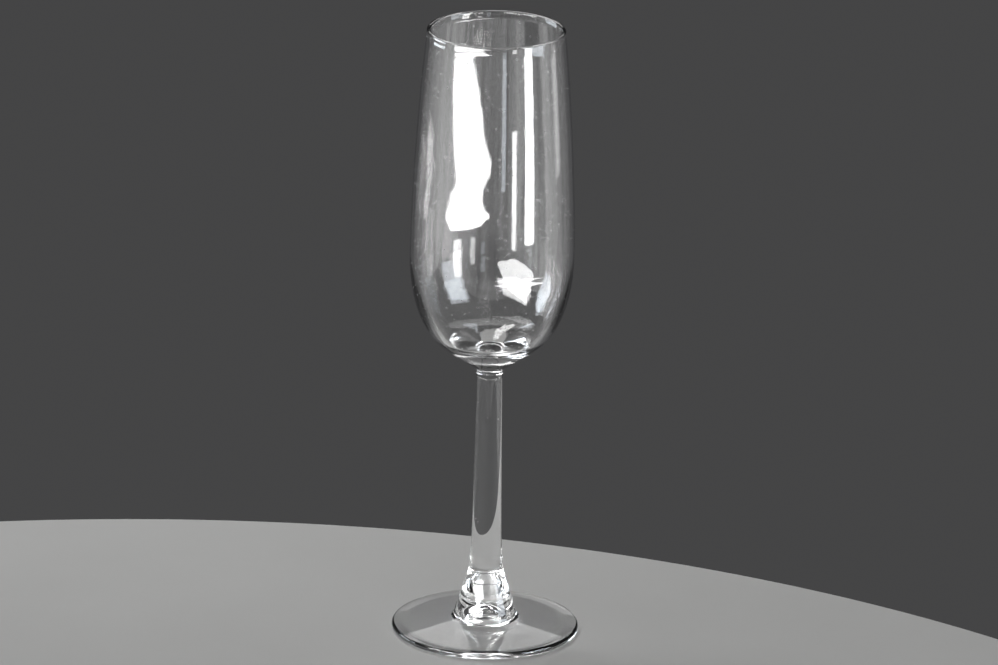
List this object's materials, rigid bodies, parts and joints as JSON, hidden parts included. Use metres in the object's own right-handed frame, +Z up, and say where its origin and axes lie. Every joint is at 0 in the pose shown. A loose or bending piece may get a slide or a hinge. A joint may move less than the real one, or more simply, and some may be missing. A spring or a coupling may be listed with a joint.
{
  "type": "champagne flute",
  "caption": "Tall clear glass flute: a slim bowl that leans in to a beaded lip, on a tapered solid stem that flares into a round foot.",
  "frame": {"origin": "centre of the flat ring on the underside of the foot, on the surface that the glass stands on", "axes": "+Z up along the axis of the stem and bowl; the glass is turned about Z, so X and Y are equivalent"},
  "size_m": [0.066, 0.066, 0.22],
  "materials": {
    "bowl_glass": "fire-polished clear soda-lime glass with faint vertical draw lines, a smudge and dust",
    "stem_glass": "fire-polished clear soda-lime glass with faint draw lines along the rod",
    "foot_glass": "fire-polished clear soda-lime glass, pressed, with a rounded edge"
  },
  "bodies": {
    "root": {"bowl": "bowl_glass", "stem": "stem_glass", "foot": "foot_glass"}
  },
  "joints": []
}
